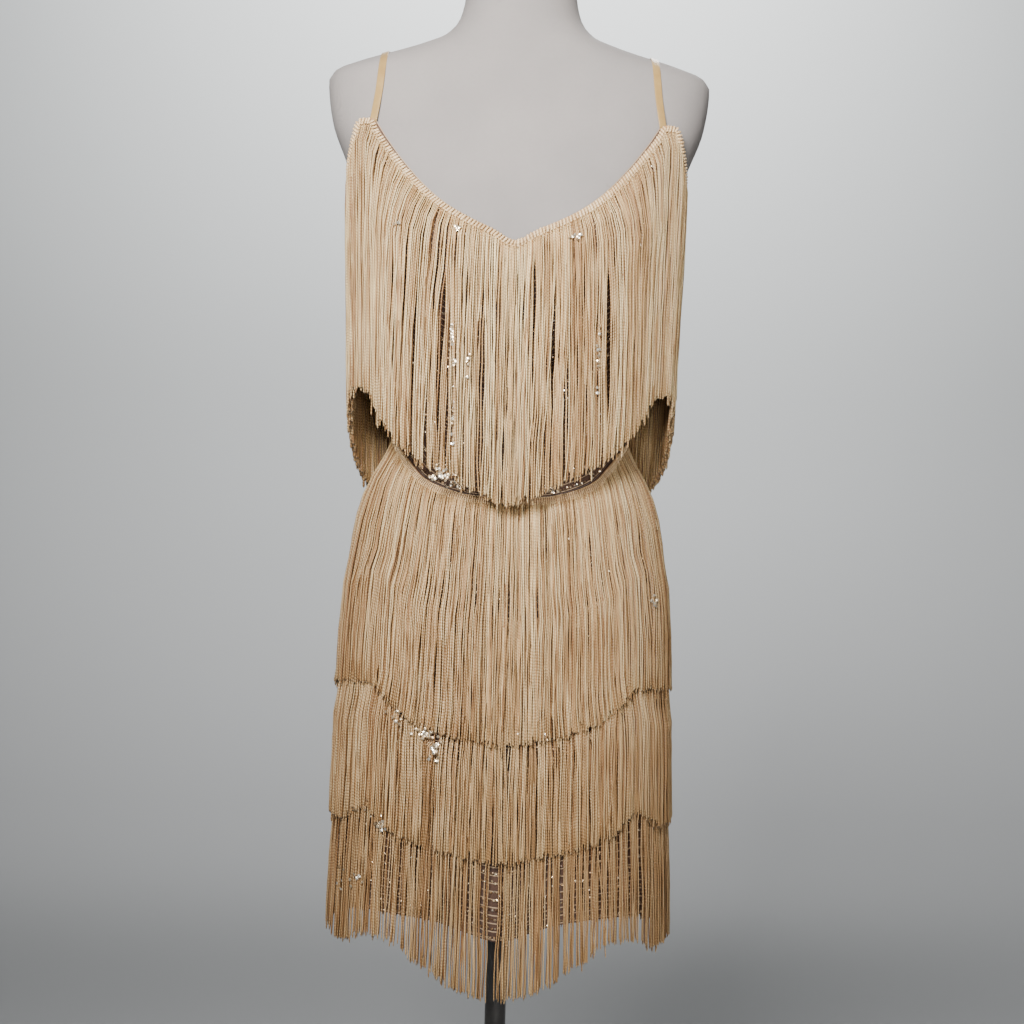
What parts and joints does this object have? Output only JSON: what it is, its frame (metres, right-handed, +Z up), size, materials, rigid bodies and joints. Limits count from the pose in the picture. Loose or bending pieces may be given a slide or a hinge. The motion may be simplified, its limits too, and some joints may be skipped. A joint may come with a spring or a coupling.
{
  "type": "sequin fringe dress on a dress form",
  "caption": "Sleeveless mini dress of sequined mesh with tiers of hanging fringe and thin shoulder straps, worn by a limbless dress form on a pole and a round foot plate.",
  "frame": {"origin": "on the floor under the middle of the round foot plate", "axes": "+Z up along the pole, the front of the dress faces -Y, +X to the right of the front view"},
  "size_m": [0.399, 0.34, 1.5],
  "materials": {
    "form_linen": "pale grey cloth cover, matte",
    "dark_metal": "dark satin coat",
    "sequin_mesh": "champagne mesh with small shiny sequins",
    "strap_satin": "cream satin elastic",
    "fringe_yarn": "champagne twisted rayon fringe with a soft sheen"
  },
  "bodies": {
    "root": {"form_torso": "form_linen", "stand_pole": "dark_metal", "stand_base": "dark_metal", "bodice_front": "sequin_mesh", "bodice_back": "sequin_mesh", "skirt_front": "sequin_mesh", "skirt_back": "sequin_mesh", "strap_left": "strap_satin", "strap_right": "strap_satin", "fringe_neck": "fringe_yarn", "fringe_waist": "fringe_yarn", "fringe_hip": "fringe_yarn", "fringe_hem": "fringe_yarn"}
  },
  "joints": []
}
